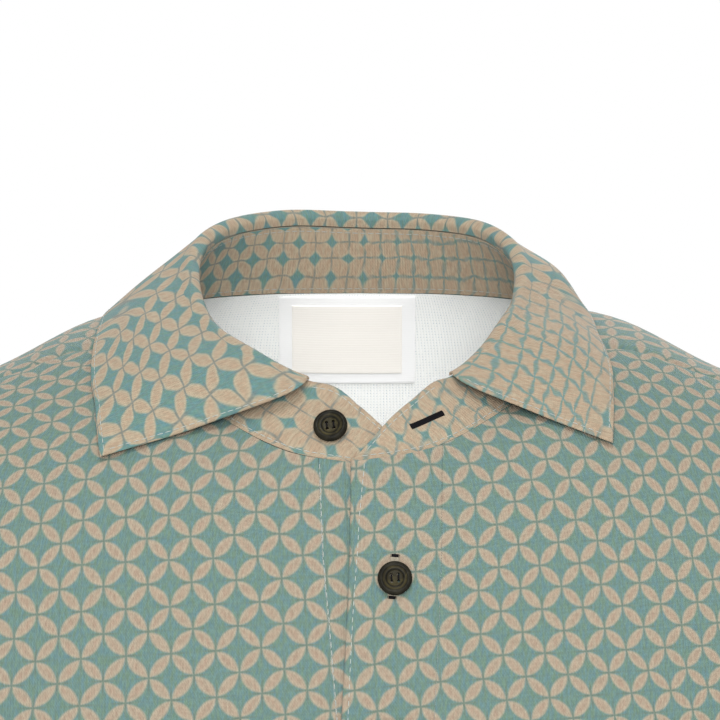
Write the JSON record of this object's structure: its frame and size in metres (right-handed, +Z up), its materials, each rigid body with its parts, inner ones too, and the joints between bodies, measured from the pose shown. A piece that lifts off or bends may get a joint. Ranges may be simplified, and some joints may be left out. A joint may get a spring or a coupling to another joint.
{
  "type": "polo shirt",
  "caption": "Short-sleeved polo shirt in a printed knit with a fold-over collar on a stand, an unbuttoned neck and a buttoned placket, filled out as if worn.",
  "frame": {"origin": "middle of the neck, level with the neck seam at the centre back, where the wearer's neck and shoulders hold the shirt up", "axes": "+X to the wearer's left, +Y to the wearer's back, +Z up; the front faces -Y"},
  "size_m": [0.6788, 0.2332, 0.7358],
  "materials": {
    "printed_knit": "matte printed polyester knit, white inside",
    "printed_collar_knit": "matte printed polyester knit, two layers",
    "button_resin": "dark brown resin with a soft polish",
    "label_satin": "smooth beige woven label, left bare",
    "patch_white": "smooth white half patch"
  },
  "bodies": {
    "root": {"front_body": "printed_knit", "back_body": "printed_knit", "sleeve_left": "printed_knit", "sleeve_right": "printed_knit", "collar_stand": "printed_collar_knit", "collar_leaf": "printed_collar_knit", "placket_top": "printed_knit", "placket_under": "printed_knit", "button_stand": "button_resin", "button_placket_upper": "button_resin", "button_placket_lower": "button_resin", "label_backing": "patch_white", "label": "label_satin"}
  },
  "joints": []
}
